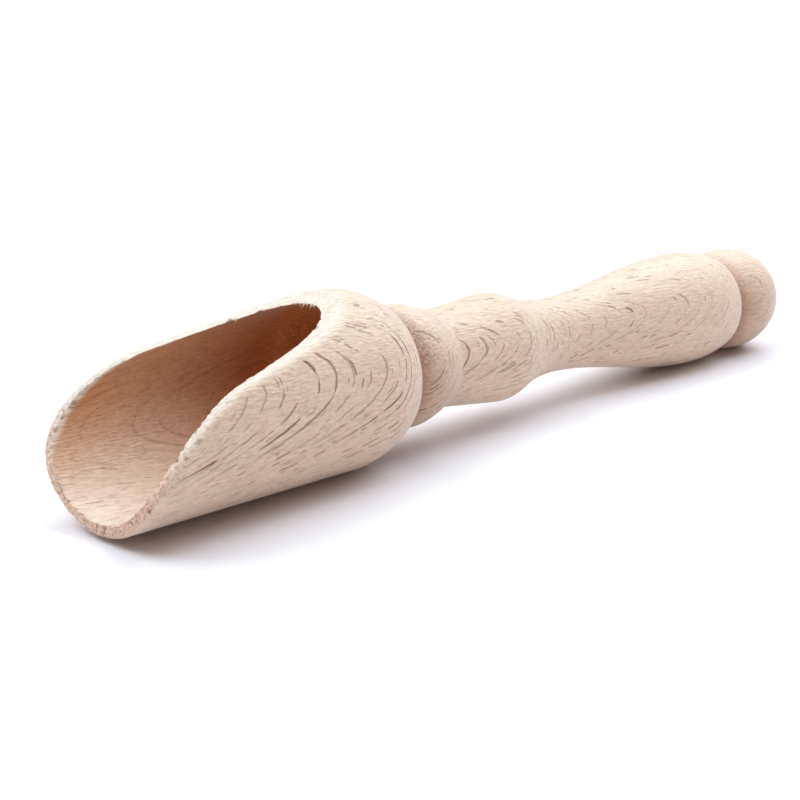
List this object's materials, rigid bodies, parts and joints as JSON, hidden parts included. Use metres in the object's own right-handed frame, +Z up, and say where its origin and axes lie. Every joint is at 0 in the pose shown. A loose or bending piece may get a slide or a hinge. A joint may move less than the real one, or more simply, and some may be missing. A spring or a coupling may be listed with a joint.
{
  "type": "salt scoop",
  "caption": "Small turned beech scoop: a hollow bowl with a long slanted mouth on a shaped handle with collar, slim neck, swelling grip and round knob. For spooning salt.",
  "frame": {"origin": "on the table, under the middle of the scoop as it lies mouth up", "axes": "+X from the bowl's mouth towards the knob, +Z up, the scoop alike on both sides of the XZ plane"},
  "size_m": [0.1794, 0.0332, 0.0312],
  "materials": {
    "beech": "sanded, untreated"
  },
  "bodies": {
    "root": {"bowl": "beech", "handle": "beech"}
  },
  "joints": []
}
